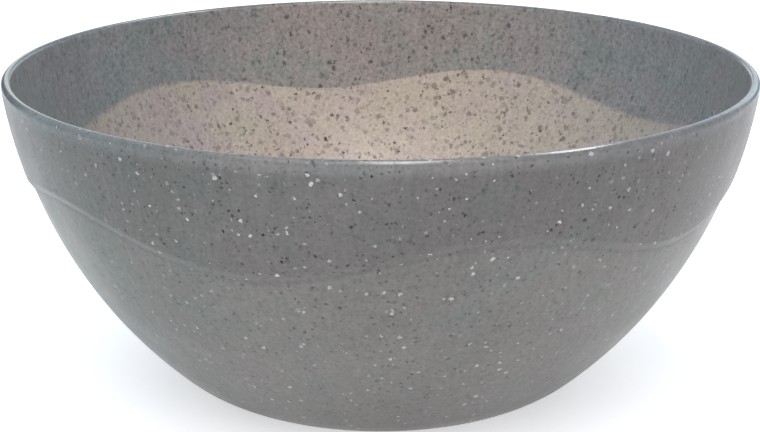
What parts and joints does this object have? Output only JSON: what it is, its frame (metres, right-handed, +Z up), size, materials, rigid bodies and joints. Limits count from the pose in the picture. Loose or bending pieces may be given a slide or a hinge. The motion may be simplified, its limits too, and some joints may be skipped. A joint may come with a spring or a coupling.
{
  "type": "serving bowl",
  "caption": "Deep round serving bowl in speckled plastic, with a thin rounded lip, a raised outer band with a wavy lower edge, and a small flat base.",
  "frame": {"origin": "centre of the base, on the plane that the standing ring rests on", "axes": "+Z up along the bowl's axis, out of its mouth; +X to the right and -Y towards a viewer in front; a crest of the wavy edge faces the front, 16 degrees to its right"},
  "size_m": [0.2496, 0.2496, 0.1062],
  "materials": {
    "shell_plastic": "glossy, slightly translucent grey plastic with white and dark flakes",
    "band_plastic": "the same speckled plastic, a little darker because the wall is thicker there"
  },
  "bodies": {
    "root": {"bowl_shell": "shell_plastic", "wave_band": "band_plastic"}
  },
  "joints": []
}
